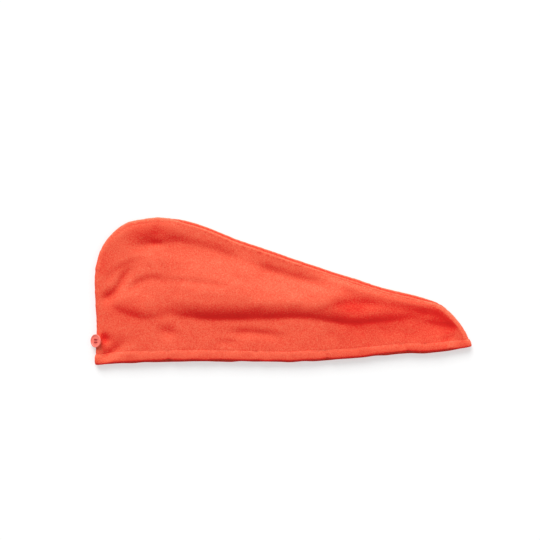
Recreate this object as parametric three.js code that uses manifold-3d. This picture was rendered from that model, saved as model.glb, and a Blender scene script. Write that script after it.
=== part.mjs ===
// Hair turban towel of plush microfibre, lying on its side as it is laid out on a table.
// Two panels of one outline are joined by a seam that runs up the nape side, over the crown and down
// to the tail's tip. The seam's edge is a rounded strip between the lower panel and the upper one.
// The mouth, where the head goes in, is open along the bottom, and each panel has a turned hem there.
// A four-hole button is sewn to the nape edge, and its elastic loop is in the tail's tip.
// Millimetres. +X runs from the nape edge to the tail, +Y from the mouth to the crown, +Z up.
// The origin is under the middle of the whole, on the surface that it lies on.
import * as THREE from "three";
import { mergeVertices } from "three/addons/utils/BufferGeometryUtils.js";
import Module from "manifold-3d";

// The towel as a whole.
const towelLength = 650; // nape edge to the tail's tip
const towelHeight = 256; // mouth corner to the crown's top
const clothThickness = 1.8; // one layer of microfibre with its pile
const pieceGap = 0.3; // between two pieces that touch

// The rounded edge that the seam makes, and the height of the upper layer over the table.
const edgeHeight = 11.6; // both layers and the seam allowance between them
const edgeRoll = 8.5; // how far in from the outline the edge is rounded
const seamLift = 52; // degrees that the seam is rolled up from the outline on to the upper side
const loftRise = 2.4; // the middle stands this much over the edge
const loftReach = 55; // distance over which it rises
const foldRelief = 10; // height that the folds' rises are shares of
const foldFade = 24; // folds die out over this distance to the rounded edge
const mouthFade = 34; // and over this distance to the mouth

// The turned hem.
const hemWidthNape = 18;
const hemWidthTail = 14;
const hemThickness = 3.2; // two turns of cloth, pressed by the stitching
const hemRaise = 0.4; // how far the upper hem stands over its panel
const lipSetback = 2.5; // the upper lip lies this far behind the lower one

// The button, its thread and the elastic loop.
const buttonDiameter = 23;
const buttonThickness = 3.2;
const buttonRimWidth = 2.4;
const buttonDish = 1.1; // depth of the face below the rim
const buttonHoleDiameter = 2.0;
const buttonHolePitchAcross = 6.2;
const buttonHolePitchUp = 4.4;
const buttonUp = 42; // height of the button over the mouth corner
const buttonTilt = 39; // degrees from level, towards the nape side
const threadDiameter = 1.4;
const shankDiameter = 3.2;
const shankLength = 1.3; // clear space between the cloth and the button
const loopCordDiameter = 2.6;
const loopLength = 44;
const loopSpread = 16; // distance between the loop's two ends
const loopFromTip = 30; // along the seam, from the tip to the loop's middle

// Outline from the mouth corner up the nape side, over the crown and down to the tip.
// Shares of towelLength and towelHeight.
const outlineTable = [
  { along: 0.0, up: 0.0 },
  { along: 0.0, up: 0.09 },
  { along: 0.002, up: 0.27 },
  { along: -0.003, up: 0.5 },
  { along: 0.0, up: 0.665 },
  { along: 0.0146, up: 0.79 },
  { along: 0.044, up: 0.895 },
  { along: 0.087, up: 0.967 },
  { along: 0.13, up: 0.99 },
  { along: 0.17, up: 1.0 },
  { along: 0.224, up: 0.983 },
  { along: 0.288, up: 0.94 },
  { along: 0.384, up: 0.842 },
  { along: 0.464, up: 0.773 },
  { along: 0.544, up: 0.703 },
  { along: 0.671, up: 0.598 },
  { along: 0.783, up: 0.509 },
  { along: 0.863, up: 0.46 },
  { along: 0.911, up: 0.418 },
  { along: 0.943, up: 0.36 },
  { along: 0.969, up: 0.287 },
  { along: 0.988, up: 0.209 },
  { along: 1.0, up: 0.126 },
];

// The lower lip of the mouth, from the corner to the tip, in the same shares.
const mouthTable = [
  { along: 0.0, up: 0.0 },
  { along: 0.066, up: 0.01 },
  { along: 0.193, up: 0.021 },
  { along: 0.305, up: 0.024 },
  { along: 0.411, up: 0.021 },
  { along: 0.517, up: 0.018 },
  { along: 0.576, up: 0.027 },
  { along: 0.672, up: 0.042 },
  { along: 0.751, up: 0.061 },
  { along: 0.815, up: 0.078 },
  { along: 0.879, up: 0.08 },
  { along: 0.943, up: 0.096 },
  { along: 1.0, up: 0.126 },
];

// Folds of the upper layer. from, via and to are places on the fold, in shares of towelLength and
// towelHeight. rise is a share of foldRelief, up for a ridge and down for a valley. upper and lower
// are its widths towards the crown and towards the mouth, in shares of towelHeight.
const foldTable = [
  { name: "middle ridge", from: [0.06, 0.44], via: [0.37, 0.466], to: [0.68, 0.466], rise: 0.65, upper: 0.27, lower: 0.061 },
  { name: "main valley", from: [0.185, 0.365], via: [0.411, 0.311], to: [0.637, 0.304], rise: -0.3, upper: 0.05, lower: 0.05 },
  { name: "tail valley", from: [0.592, 0.318], via: [0.717, 0.291], to: [0.842, 0.345], rise: -0.28, upper: 0.09, lower: 0.05 },
  { name: "tail ridge", from: [0.624, 0.493], via: [0.757, 0.459], to: [0.884, 0.419], rise: 0.3, upper: 0.08, lower: 0.08 },
  { name: "seam valley", from: [0.363, 0.696], via: [0.517, 0.574], to: [0.656, 0.486], rise: -0.35, upper: 0.04, lower: 0.1 },
  { name: "crown dent", from: [0.086, 0.858], via: [0.158, 0.824], to: [0.251, 0.845], rise: -0.35, upper: 0.05, lower: 0.09 },
  { name: "low ridge", from: [0.278, 0.264], via: [0.4375, 0.27], to: [0.57, 0.27], rise: 0.12, upper: 0.03, lower: 0.04 },
  { name: "nape crease", from: [0.015, 0.459], via: [0.047, 0.534], to: [0.124, 0.703], rise: -0.22, upper: 0.028, lower: 0.034 },
  { name: "nape arc", from: [0.092, 0.554], via: [0.132, 0.628], to: [0.1875, 0.601], rise: -0.15, upper: 0.028, lower: 0.034 },
  { name: "nape hollow", from: [0.039, 0.405], via: [0.11, 0.324], to: [0.1715, 0.372], rise: -0.28, upper: 0.04, lower: 0.04 },
  { name: "button pucker", from: [0.004, 0.209], via: [0.0226, 0.182], to: [0.0545, 0.176], rise: -0.28, upper: 0.028, lower: 0.028 },
  { name: "corner hollow", from: [0.031, 0.074], via: [0.0545, 0.135], to: [0.086, 0.182], rise: -0.2, upper: 0.034, lower: 0.034 },
  { name: "tail dent", from: [0.884, 0.304], via: [0.9295, 0.257], to: [0.972, 0.27], rise: -0.26, upper: 0.034, lower: 0.028 },
];

// Fineness of the meshes.
const columns = 57;
const frontRows = 24;
const backRows = 2;
const frontRollSteps = 2;
const edgeRollSteps = 5;
const edgeHemSteps = 4; // stations of the edge strip beside each end of the hems
const hemStations = 42;

const smoothStep = (value) => {
  const t = Math.min(1, Math.max(0, value));
  return t * t * (3 - 2 * t);
};
const mix = (a, b, t) => a + (b - a) * t;
const toRadians = THREE.MathUtils.degToRad;

function splineThrough(table) {
  const points = table.map(({ along, up }) => new THREE.Vector3(along * towelLength, up * towelHeight, 0));
  const curve = new THREE.CatmullRomCurve3(points, false, "centripetal");
  curve.arcLengthDivisions = 500;
  return curve;
}

const outline = splineThrough(outlineTable);
const outlineLength = outline.getLength();
const outlinePoints = outline.getSpacedPoints(260);
const mouth = splineThrough(mouthTable);
const mouthPoints = mouth.getSpacedPoints(200);

// The unit direction from the outline into the towel. At the two ends it runs along the mouth.
const endBlend = 30;
function inwardAt(arc) {
  const tangent = outline.getTangentAt(arc / outlineLength);
  const normal = new THREE.Vector3(tangent.y, -tangent.x, 0);
  const napeEnd = mouth.getTangentAt(0);
  const tailEnd = mouth.getTangentAt(1).negate();
  normal.lerp(napeEnd, 1 - smoothStep(arc / endBlend));
  normal.lerp(tailEnd, 1 - smoothStep((outlineLength - arc) / endBlend));
  return normal.normalize();
}

const outlineAt = (arc) => outline.getPointAt(THREE.MathUtils.clamp(arc / outlineLength, 0, 1));

// The place on the outline moved straight in by the width of the rounded edge.
const innerOutlineAt = (arc) => outlineAt(arc).addScaledVector(inwardAt(arc), edgeRoll);

function distanceToOutline(x, y) {
  let least = Infinity;
  for (let i = 1; i < outlinePoints.length; i++) {
    const [a, b] = [outlinePoints[i - 1], outlinePoints[i]];
    const [dx, dy] = [b.x - a.x, b.y - a.y];
    const t = THREE.MathUtils.clamp(((x - a.x) * dx + (y - a.y) * dy) / (dx * dx + dy * dy), 0, 1);
    least = Math.min(least, Math.hypot(x - a.x - t * dx, y - a.y - t * dy));
  }
  return least;
}

function mouthHeightAt(x) {
  for (let i = 1; i < mouthPoints.length; i++) {
    const [a, b] = [mouthPoints[i - 1], mouthPoints[i]];
    if (x <= b.x) return mix(a.y, b.y, (x - a.x) / (b.x - a.x));
  }
  return mouthPoints[mouthPoints.length - 1].y;
}

// Each fold's line, as short straight pieces.
const foldLines = foldTable.map(({ from, via, to }) => {
  const points = [from, via, to].map(([along, up]) => new THREE.Vector3(along * towelLength, up * towelHeight, 0));
  return new THREE.CatmullRomCurve3(points).getPoints(14);
});

function foldHeight(fold, line, x, y) {
  let nearest = Infinity;
  let side = 1;
  let share = 0;
  for (let i = 1; i < line.length; i++) {
    const [a, b] = [line[i - 1], line[i]];
    const [dx, dy] = [b.x - a.x, b.y - a.y];
    const t = THREE.MathUtils.clamp(((x - a.x) * dx + (y - a.y) * dy) / (dx * dx + dy * dy), 0, 1);
    const distance = Math.hypot(x - a.x - t * dx, y - a.y - t * dy);
    if (distance < nearest) {
      nearest = distance;
      side = dx * (y - a.y) - dy * (x - a.x);
      share = (i - 1 + t) / (line.length - 1);
    }
  }
  const width = (side > 0 ? fold.upper : fold.lower) * towelHeight;
  const taper = smoothStep(share / 0.35) * smoothStep((1 - share) / 0.35);
  return fold.rise * foldRelief * taper * Math.exp(-((nearest / width) ** 2));
}

// Height of the upper layer's outside over the table.
function upperHeight(x, y) {
  const inside = distanceToOutline(x, y) - edgeRoll;
  const folds = foldTable.reduce((sum, fold, i) => sum + foldHeight(fold, foldLines[i], x, y), 0);
  const fade = smoothStep(inside / foldFade) * smoothStep((y - mouthHeightAt(x)) / mouthFade);
  return edgeHeight + loftRise * smoothStep(inside / loftReach) + folds * fade;
}

// A place on the rounded edge: roll is 90 degrees at its top, 0 at the outline and -90 on the table.
// depth is how far it lies under the outside.
function edgePoint(arc, roll, depth) {
  const halfHeight = edgeHeight / 2;
  const inset = edgeRoll - (edgeRoll - depth) * Math.cos(roll);
  const point = outlineAt(arc).addScaledVector(inwardAt(arc), inset);
  point.z = halfHeight + (halfHeight - depth) * Math.sin(roll);
  return point;
}

// The hem's two edges. Its outer ends follow the outline.
const hemWidthAt = (x) => mix(hemWidthNape, hemWidthTail, THREE.MathUtils.clamp(x / towelLength, 0, 1));
const napeHemEnd = innerOutlineAt(hemWidthNape);
const tailHemEnd = innerOutlineAt(outlineLength - hemWidthTail);
const napeLipEnd = innerOutlineAt(0);
const tailLipEnd = innerOutlineAt(outlineLength);
const setbackAt = (x) =>
  lipSetback * smoothStep((x - napeLipEnd.x) / endBlend) * smoothStep((tailLipEnd.x - x) / endBlend);

// A height over the mouth, corrected towards its ends so that it starts and ends at the given places.
function lineBetween(start, end, heightAt) {
  const [startError, endError] = [start.y - heightAt(start.x), end.y - heightAt(end.x)];
  return (x) =>
    heightAt(x) +
    startError * (1 - smoothStep((x - start.x) / endBlend)) +
    endError * (1 - smoothStep((end.x - x) / endBlend));
}
const lowerLip = lineBetween(napeLipEnd, tailLipEnd, mouthHeightAt);
const upperLip = lineBetween(napeLipEnd, tailLipEnd, (x) => mouthHeightAt(x) + setbackAt(x));
const lowerHemLine = lineBetween(napeHemEnd, tailHemEnd, (x) => mouthHeightAt(x) + hemWidthAt(x));
const upperHemLine = lineBetween(napeHemEnd, tailHemEnd, (x) => mouthHeightAt(x) + setbackAt(x) + hemWidthAt(x));

// An indexed mesh geometry, turned so that its faces point out.
function closedGeometry(points, triangles) {
  let volume = 0;
  for (const [a, b, c] of triangles) {
    volume += points[a].dot(new THREE.Vector3().crossVectors(points[b], points[c]));
  }
  const facing = volume < 0 ? triangles.map(([a, b, c]) => [a, c, b]) : triangles;
  const geometry = new THREE.BufferGeometry().setFromPoints(points);
  geometry.setIndex(facing.flat());
  geometry.computeVertexNormals();
  return geometry;
}

const quad = (a, b, c, d) => [
  [a, b, c],
  [a, c, d],
];

// A sheet of cloth from two grids of places, outer[column][row] and inner[column][row].
function sheetGeometry(outer, inner) {
  const [columnCount, rowCount] = [outer.length, outer[0].length];
  const points = [...outer.flat(), ...inner.flat()];
  const out = (i, j) => i * rowCount + j;
  const inn = (i, j) => columnCount * rowCount + out(i, j);
  const triangles = [];
  for (let i = 0; i < columnCount - 1; i++) {
    for (let j = 0; j < rowCount - 1; j++) {
      triangles.push(...quad(out(i, j), out(i + 1, j), out(i + 1, j + 1), out(i, j + 1)));
      triangles.push(...quad(inn(i, j), inn(i, j + 1), inn(i + 1, j + 1), inn(i + 1, j)));
    }
    const last = rowCount - 1;
    triangles.push(...quad(out(i, 0), inn(i, 0), inn(i + 1, 0), out(i + 1, 0)));
    triangles.push(...quad(out(i, last), out(i + 1, last), inn(i + 1, last), inn(i, last)));
  }
  for (let j = 0; j < rowCount - 1; j++) {
    const last = columnCount - 1;
    triangles.push(...quad(out(0, j), out(0, j + 1), inn(0, j + 1), inn(0, j)));
    triangles.push(...quad(out(last, j), inn(last, j), inn(last, j + 1), out(last, j + 1)));
  }
  return closedGeometry(points, triangles);
}

// A bar from sections[station][corner], with a flat face over each end.
function barGeometry(sections) {
  const [stationCount, cornerCount] = [sections.length, sections[0].length];
  const at = (i, j) => i * cornerCount + (j % cornerCount);
  const triangles = [];
  for (let i = 0; i < stationCount - 1; i++) {
    for (let j = 0; j < cornerCount; j++) {
      triangles.push(...quad(at(i, j), at(i + 1, j), at(i + 1, j + 1), at(i, j + 1)));
    }
  }
  for (let j = 1; j < cornerCount - 1; j++) {
    triangles.push([at(0, 0), at(0, j), at(0, j + 1)]);
    triangles.push([at(stationCount - 1, 0), at(stationCount - 1, j + 1), at(stationCount - 1, j)]);
  }
  return closedGeometry(sections.flat(), triangles);
}

// The panels' columns fan from along the hem at the two ends to upright in between. Their upper ends
// are spaced evenly along the outline.
const firstColumnLength = 7;
const columnCrowding = 1.3; // more columns near the nape, where the outline is longest
const columnShares = Array.from({ length: columns + 1 }, (_, i) => i / columns);
const firstArc = hemWidthNape + pieceGap;
const lastArc = outlineLength - hemWidthTail - pieceGap;
const columnArcs = columnShares.map((share) => mix(firstArc, lastArc, share));
const columnFeet = columnShares.map((share) =>
  mix(napeHemEnd.x + firstColumnLength, tailHemEnd.x - firstColumnLength, share ** columnCrowding),
);

// The seam's gap on the rounded edge, in radians, and the strip's end on the table.
const seamRoll = toRadians(seamLift);
const seamHalfGap = pieceGap / 2 / (edgeHeight / 2 - clothThickness);
const stripFoot = -Math.acos(pieceGap / edgeRoll);

// The upper panel runs from its hem to the inner outline and on round the edge to the seam.
function frontPanelGeometry() {
  const [outer, inner] = [[], []];
  columnArcs.forEach((arc, i) => {
    const foot = new THREE.Vector3(columnFeet[i], upperHemLine(columnFeet[i]) + pieceGap, 0);
    const head = innerOutlineAt(arc);
    const [outerColumn, innerColumn] = [[], []];
    for (let j = 0; j < frontRows; j++) {
      const place = foot.clone().lerp(head, j / frontRows);
      place.z = upperHeight(place.x, place.y);
      outerColumn.push(place);
      innerColumn.push(place.clone().setZ(place.z - clothThickness));
    }
    for (let j = 0; j <= frontRollSteps; j++) {
      const roll = mix(Math.PI / 2, seamRoll + seamHalfGap, j / frontRollSteps);
      outerColumn.push(edgePoint(arc, roll, 0));
      innerColumn.push(edgePoint(arc, roll, clothThickness));
    }
    outer.push(outerColumn);
    inner.push(innerColumn);
  });
  return sheetGeometry(outer, inner);
}

// The lower panel lies flat, from its hem to the inner outline.
function backPanelGeometry() {
  const [outer, inner] = [[], []];
  columnArcs.forEach((arc, i) => {
    const foot = new THREE.Vector3(columnFeet[i], lowerHemLine(columnFeet[i]) + pieceGap, 0);
    const head = innerOutlineAt(arc);
    const places = Array.from({ length: backRows + 1 }, (_, j) => foot.clone().lerp(head, j / backRows));
    outer.push(places);
    inner.push(places.map((place) => place.clone().setZ(clothThickness)));
  });
  return sheetGeometry(outer, inner);
}

// The strip of the edge, from the lower panel round the outline and up to the seam.
function seamEdgeGeometry() {
  const steps = Array.from({ length: edgeHemSteps + 1 }, (_, i) => i / edgeHemSteps);
  const arcs = [
    ...steps.map((step) => step * hemWidthNape),
    ...columnArcs,
    ...steps.map((step) => outlineLength - (1 - step) * hemWidthTail),
  ];
  const [outer, inner] = [[], []];
  for (const arc of arcs) {
    const rolls = Array.from({ length: edgeRollSteps + 1 }, (_, j) =>
      mix(stripFoot, seamRoll - seamHalfGap, j / edgeRollSteps),
    );
    outer.push(rolls.map((roll) => edgePoint(arc, roll, 0)));
    inner.push(rolls.map((roll) => edgePoint(arc, roll, clothThickness)));
  }
  return sheetGeometry(outer, inner);
}

// The hem's section: across is the share of its width from the lip to the panel, depth the share of
// its thickness from the outside. The lip is a rounded fold, the other edge is stitched down.
const hemSection = [
  { across: 0.0, depth: 0.5 },
  { across: 0.03, depth: 0.15 },
  { across: 0.12, depth: 0.0 },
  { across: 0.55, depth: 0.0 },
  { across: 0.93, depth: 0.0 },
  { across: 1.0, depth: 0.25 },
  { across: 1.0, depth: 0.75 },
  { across: 0.5, depth: 1.0 },
  { across: 0.12, depth: 1.0 },
  { across: 0.03, depth: 0.85 },
];

// The flat stretch of a hem, from the nape end of its lip and line to the tail end.
function flatHemSections(lip, line, placeHeight) {
  const sections = [];
  for (let i = 0; i <= hemStations; i++) {
    const lipX = mix(napeLipEnd.x, tailLipEnd.x, i / hemStations);
    const lineX = mix(napeHemEnd.x, tailHemEnd.x, i / hemStations);
    const start = new THREE.Vector3(lipX, lip(lipX), 0);
    const end = new THREE.Vector3(lineX, line(lineX), 0);
    sections.push(
      hemSection.map(({ across, depth }) => {
        const place = start.clone().lerp(end, across);
        return place.setZ(placeHeight(place, depth));
      }),
    );
  }
  return sections;
}

// The upper hem stands a little over its panel and rolls round the edge to the seam at both ends.
function frontHemGeometry() {
  const rollSection = (arcAt, roll) =>
    hemSection.map(({ across, depth }) => edgePoint(arcAt(across), roll, depth * hemThickness - hemRaise));
  const napeArc = (across) => across * hemWidthNape;
  const tailArc = (across) => outlineLength - across * hemWidthTail;
  const rolls = [1, 0.5].map((step) => mix(Math.PI / 2, seamRoll + seamHalfGap, step));
  return barGeometry([
    ...rolls.map((roll) => rollSection(napeArc, roll)),
    ...flatHemSections(
      upperLip,
      upperHemLine,
      (place, depth) => upperHeight(place.x, place.y) + hemRaise - depth * hemThickness,
    ),
    ...rolls.reverse().map((roll) => rollSection(tailArc, roll)),
  ]);
}

const backHemGeometry = () => barGeometry(flatHemSections(lowerLip, lowerHemLine, (_, depth) => depth * hemThickness));

// Solids for the pieces that need cutting and joining.
const wasm = await Module();
wasm.setup();

function toSolid(geometry) {
  const bare = geometry.clone();
  bare.deleteAttribute("normal");
  bare.deleteAttribute("uv");
  const merged = mergeVertices(bare, 1e-4);
  return new wasm.Manifold(
    new wasm.Mesh({
      numProp: 3,
      vertProperties: new Float32Array(merged.attributes.position.array),
      triVerts: new Uint32Array(merged.index.array),
    }),
  );
}

function fromSolid(solid) {
  const mesh = solid.getMesh();
  const geometry = new THREE.BufferGeometry();
  geometry.setAttribute("position", new THREE.BufferAttribute(mesh.vertProperties, 3));
  geometry.setIndex(new THREE.BufferAttribute(mesh.triVerts, 1));
  geometry.computeVertexNormals();
  return geometry;
}

// The button lies with its face up and its middle at the origin until it is placed.
const holePlaces = [-1, 1].flatMap((across) =>
  [-1, 1].map((up) => [(across * buttonHolePitchAcross) / 2, (up * buttonHolePitchUp) / 2]),
);

function uprightCylinder(diameter, bottom, top, sides) {
  const cylinder = new THREE.CylinderGeometry(diameter / 2, diameter / 2, top - bottom, sides);
  return cylinder.rotateX(Math.PI / 2).translate(0, 0, (top + bottom) / 2);
}

function buttonGeometry() {
  const radius = buttonDiameter / 2;
  const half = buttonThickness / 2;
  const face = half - buttonDish;
  const dishRadius = radius - buttonRimWidth;
  const edge = half * 0.45; // roundness of the outer edge
  const profile = [
    [0, -half],
    [radius - 2 * edge, -half],
    [radius - 0.5 * edge, -half + 0.5 * edge],
    [radius, -half + 1.6 * edge],
    [radius - 0.1 * edge, half - 0.9 * edge],
    [radius - buttonRimWidth * 0.25, half - 0.15 * edge],
    [radius - buttonRimWidth * 0.5, half],
    [radius - buttonRimWidth * 0.8, half - 0.3 * buttonDish],
    [dishRadius, face + 0.25 * buttonDish],
    [dishRadius * 0.85, face],
    [0, face],
  ].map(([x, y]) => new THREE.Vector2(x, y));
  let solid = toSolid(new THREE.LatheGeometry(profile, 30).rotateX(Math.PI / 2));
  for (const [x, y] of holePlaces) {
    const hole = uprightCylinder(buttonHoleDiameter, -buttonThickness, buttonThickness, 10);
    solid = solid.subtract(toSolid(hole.translate(x, y, 0)));
  }
  return fromSolid(solid);
}

// Two bars of thread over the face, their four legs through the holes, and the wound shank below.
function threadGeometry() {
  const half = buttonThickness / 2;
  const barLevel = half - buttonDish + pieceGap + threadDiameter / 2;
  const shankTop = -half - pieceGap;
  let solid = toSolid(uprightCylinder(shankDiameter, -half - shankLength + pieceGap, shankTop, 12));
  const plateThickness = shankLength * 0.35;
  const plate = new THREE.BoxGeometry(
    buttonHolePitchAcross + threadDiameter,
    buttonHolePitchUp + threadDiameter,
    plateThickness,
  );
  solid = solid.add(toSolid(plate.translate(0, 0, shankTop - plateThickness / 2)));
  for (const [x, y] of holePlaces) {
    const leg = uprightCylinder(threadDiameter, shankTop - plateThickness / 2, barLevel, 8);
    solid = solid.add(toSolid(leg.translate(x, y, 0)));
  }
  for (const up of [-1, 1]) {
    const bar = new THREE.CylinderGeometry(threadDiameter / 2, threadDiameter / 2, 1, 8);
    bar.rotateZ(Math.PI / 2).scale(buttonHolePitchAcross + threadDiameter * 0.7, 1, 1);
    solid = solid.add(toSolid(bar.translate(0, (up * buttonHolePitchUp) / 2, barLevel)));
  }
  return fromSolid(solid);
}

// The button's place: its shank stands square on the rounded nape edge.
const buttonRoll = Math.atan2(
  (edgeHeight / 2) * Math.cos(toRadians(buttonTilt)),
  edgeRoll * Math.sin(toRadians(buttonTilt)),
);
const buttonSeat = edgePoint(buttonUp, buttonRoll, 0);
const buttonOut = inwardAt(buttonUp).multiplyScalar(-Math.sin(toRadians(buttonTilt)));
buttonOut.z = Math.cos(toRadians(buttonTilt));
const sewnOn = new THREE.Group();
sewnOn.position.copy(buttonSeat).addScaledVector(buttonOut, shankLength + buttonThickness / 2);
sewnOn.quaternion.setFromUnitVectors(new THREE.Vector3(0, 0, 1), buttonOut);

// The elastic loop: a cord from the seam inside the tail's tip, down on to the lower layer, into the
// tail and back to the seam.
function loopGeometry() {
  const radius = loopCordDiameter / 2;
  const level = clothThickness + pieceGap + radius;
  const wallCurve = 1 - Math.sqrt(1 - (radius / (edgeHeight / 2 - clothThickness)) ** 2);
  const seat = clothThickness + pieceGap + (edgeRoll - clothThickness) * wallCurve;
  const middleArc = outlineLength - hemWidthTail - loopFromTip;
  const [first, last] = [-1, 1].map((end) => edgePoint(middleArc + (end * loopSpread) / 2, 0, seat));
  const inward = inwardAt(middleArc);
  const along = new THREE.Vector3().subVectors(last, first).normalize();
  const at = (deep, wide) =>
    first
      .clone()
      .lerp(last, 0.5)
      .addScaledVector(inward, deep * loopLength)
      .addScaledVector(along, wide * loopSpread)
      .setZ(level);
  const straightOut = inward.clone().multiplyScalar(2 * loopCordDiameter);
  const route = [
    first,
    first.clone().add(straightOut),
    at(0.4, -0.48),
    at(0.65, -0.46),
    at(0.88, -0.34),
    at(1.0, 0.0),
    at(0.88, 0.34),
    at(0.65, 0.46),
    at(0.4, 0.48),
    last.clone().add(straightOut),
    last,
  ];
  const section = new THREE.Shape();
  section.absarc(0, 0, loopCordDiameter / 2, 0, 2 * Math.PI);
  return new THREE.ExtrudeGeometry(section, {
    extrudePath: new THREE.CatmullRomCurve3(route),
    steps: 30,
    curveSegments: 4,
  });
}

const coralCloth = new THREE.MeshStandardMaterial({ color: 0xf9603f, roughness: 0.95, metalness: 0 });
const coralHem = new THREE.MeshStandardMaterial({ color: 0xfb6746, roughness: 0.95, metalness: 0 });
const coralPlastic = new THREE.MeshStandardMaterial({ color: 0xe8786a, roughness: 0.35, metalness: 0 });
const redThread = new THREE.MeshStandardMaterial({ color: 0xb01c1c, roughness: 0.7, metalness: 0 });
const coralElastic = new THREE.MeshStandardMaterial({ color: 0xe8563a, roughness: 0.8, metalness: 0 });

function namedMesh(name, geometry, material) {
  const mesh = new THREE.Mesh(geometry, material);
  mesh.name = name;
  return mesh;
}

sewnOn.add(namedMesh("button", buttonGeometry(), coralPlastic));
sewnOn.add(namedMesh("button_thread", threadGeometry(), redThread));

const towel = new THREE.Group();
towel.add(namedMesh("front_panel", frontPanelGeometry(), coralCloth));
towel.add(namedMesh("back_panel", backPanelGeometry(), coralCloth));
towel.add(namedMesh("seam_edge", seamEdgeGeometry(), coralCloth));
towel.add(namedMesh("front_hem", frontHemGeometry(), coralHem));
towel.add(namedMesh("back_hem", backHemGeometry(), coralHem));
towel.add(namedMesh("elastic_loop", loopGeometry(), coralElastic));
towel.add(sewnOn);

// The origin goes under the middle of the whole.
const bounds = new THREE.Box3().setFromObject(towel, true);
const middle = bounds.getCenter(new THREE.Vector3());
towel.position.set(-middle.x, -middle.y, -bounds.min.z);

const turban = new THREE.Group();
turban.add(towel);
export default turban;
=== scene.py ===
import math

import bmesh
import bpy
import numpy as np
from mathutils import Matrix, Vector


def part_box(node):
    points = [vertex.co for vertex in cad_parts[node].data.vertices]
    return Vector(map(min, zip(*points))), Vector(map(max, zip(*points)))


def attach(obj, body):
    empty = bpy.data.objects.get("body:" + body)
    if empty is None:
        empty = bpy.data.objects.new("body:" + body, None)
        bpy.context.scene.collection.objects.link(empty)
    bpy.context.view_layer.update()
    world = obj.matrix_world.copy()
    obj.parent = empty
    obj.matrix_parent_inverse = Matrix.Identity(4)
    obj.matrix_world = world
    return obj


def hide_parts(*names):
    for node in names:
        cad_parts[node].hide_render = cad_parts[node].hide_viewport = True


# A hair turban towel of coral plush microfibre, laid flat and seen from straight above.
# Shapes are worked out in millimetres on the towel's own pattern: x along it from the mouth corner
# under the button to the tail, y up to the crown, z off the table. They are placed by the frame.

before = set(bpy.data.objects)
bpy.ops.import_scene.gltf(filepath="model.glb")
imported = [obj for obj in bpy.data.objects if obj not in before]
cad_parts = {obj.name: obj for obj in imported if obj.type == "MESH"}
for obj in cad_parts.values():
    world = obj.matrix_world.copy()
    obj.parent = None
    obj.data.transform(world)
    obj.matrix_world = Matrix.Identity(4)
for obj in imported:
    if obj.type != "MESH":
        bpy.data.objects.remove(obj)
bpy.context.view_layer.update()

MM = 0.001
TABLE = 0.0

# The towel's sizes, as in the frame.
CLOTH = 1.8
EDGE_HEIGHT = 11.6
EDGE_ROLL = 8.5
LOFT_RISE = 2.4
LOFT_REACH = 55
MOUTH_FADE = 16
HEM_WIDTH_NAPE = 18
HEM_WIDTH_TAIL = 14
LIP_SETBACK = 2.5
END_BLEND = 30

# Outline from the mouth corner up the nape side, over the crown and down to the tip: shares of the
# towel's length and height.
OUTLINE = (
    (0.0, 0.0),
    (0.0, 0.09),
    (0.002, 0.27),
    (-0.003, 0.5),
    (0.0, 0.665),
    (0.0146, 0.79),
    (0.044, 0.895),
    (0.087, 0.967),
    (0.13, 0.99),
    (0.17, 1.0),
    (0.224, 0.983),
    (0.288, 0.94),
    (0.384, 0.842),
    (0.464, 0.773),
    (0.544, 0.703),
    (0.671, 0.598),
    (0.783, 0.509),
    (0.863, 0.46),
    (0.911, 0.418),
    (0.943, 0.36),
    (0.969, 0.287),
    (0.988, 0.209),
    (1.0, 0.126),
)

# The lower lip of the mouth, from the corner to the tip, in the same shares.
MOUTH = (
    (0.0, 0.0),
    (0.066, 0.01),
    (0.193, 0.021),
    (0.305, 0.024),
    (0.411, 0.021),
    (0.517, 0.018),
    (0.576, 0.027),
    (0.672, 0.042),
    (0.751, 0.061),
    (0.815, 0.078),
    (0.879, 0.08),
    (0.943, 0.096),
    (1.0, 0.126),
)

# Where the visible seam lies on the rounded edge: share of the outline, degrees over its outermost
# line. It is on the edge at the nape and rolls to the upper side from the crown to the tail.
SEAM = ((0.0, 0), (0.36, 0), (0.4, 52), (0.86, 52), (0.93, 6), (1.0, 0))

# Folds of the upper layer, drawn from the nape towards the tail through places in the photograph's
# pixels. The last six numbers of a row are its height, its width towards the crown, its width towards
# the mouth or behind its face, the shares of its line over which it starts and ends, and how far in
# from the towel's edge it reaches its full height. Heights and widths are in millimetres.
# A step's line is its foot: the cloth rises over its face to a crest and falls away behind it.
STEPS = (
    (
        "main step",
        (150, 306.5), (165, 311), (180, 315.4), (205, 318.5), (235, 319), (262, 318.2), (290, 317.5),
        (308, 317.8), (325, 320), (342, 323), (360, 323.5),
        9.1, 30, 62, 0.34, 0.35, 34,
    ),
    (
        "nape step",
        (100, 300), (113, 307), (126, 313.5), (140, 318), (152, 318), (165, 315), (178, 313),
        3.3, 21, 26, 0.25, 0.35, 13,
    ),
    (
        "lower tail step",
        (308, 318), (330, 321.5), (350, 323.5), (370, 322.5), (390, 320.5), (410, 318), (428, 320),
        3.9, 15, 20, 0.3, 0.45, 18,
    ),
    (
        "tail step",
        (308, 315), (325, 309), (343, 304), (363, 303), (388, 306), (410, 310), (425, 315),
        (440, 321), (454, 328),
        3.2, 18, 60, 0.25, 0.55, 6,
    ),
)

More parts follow.
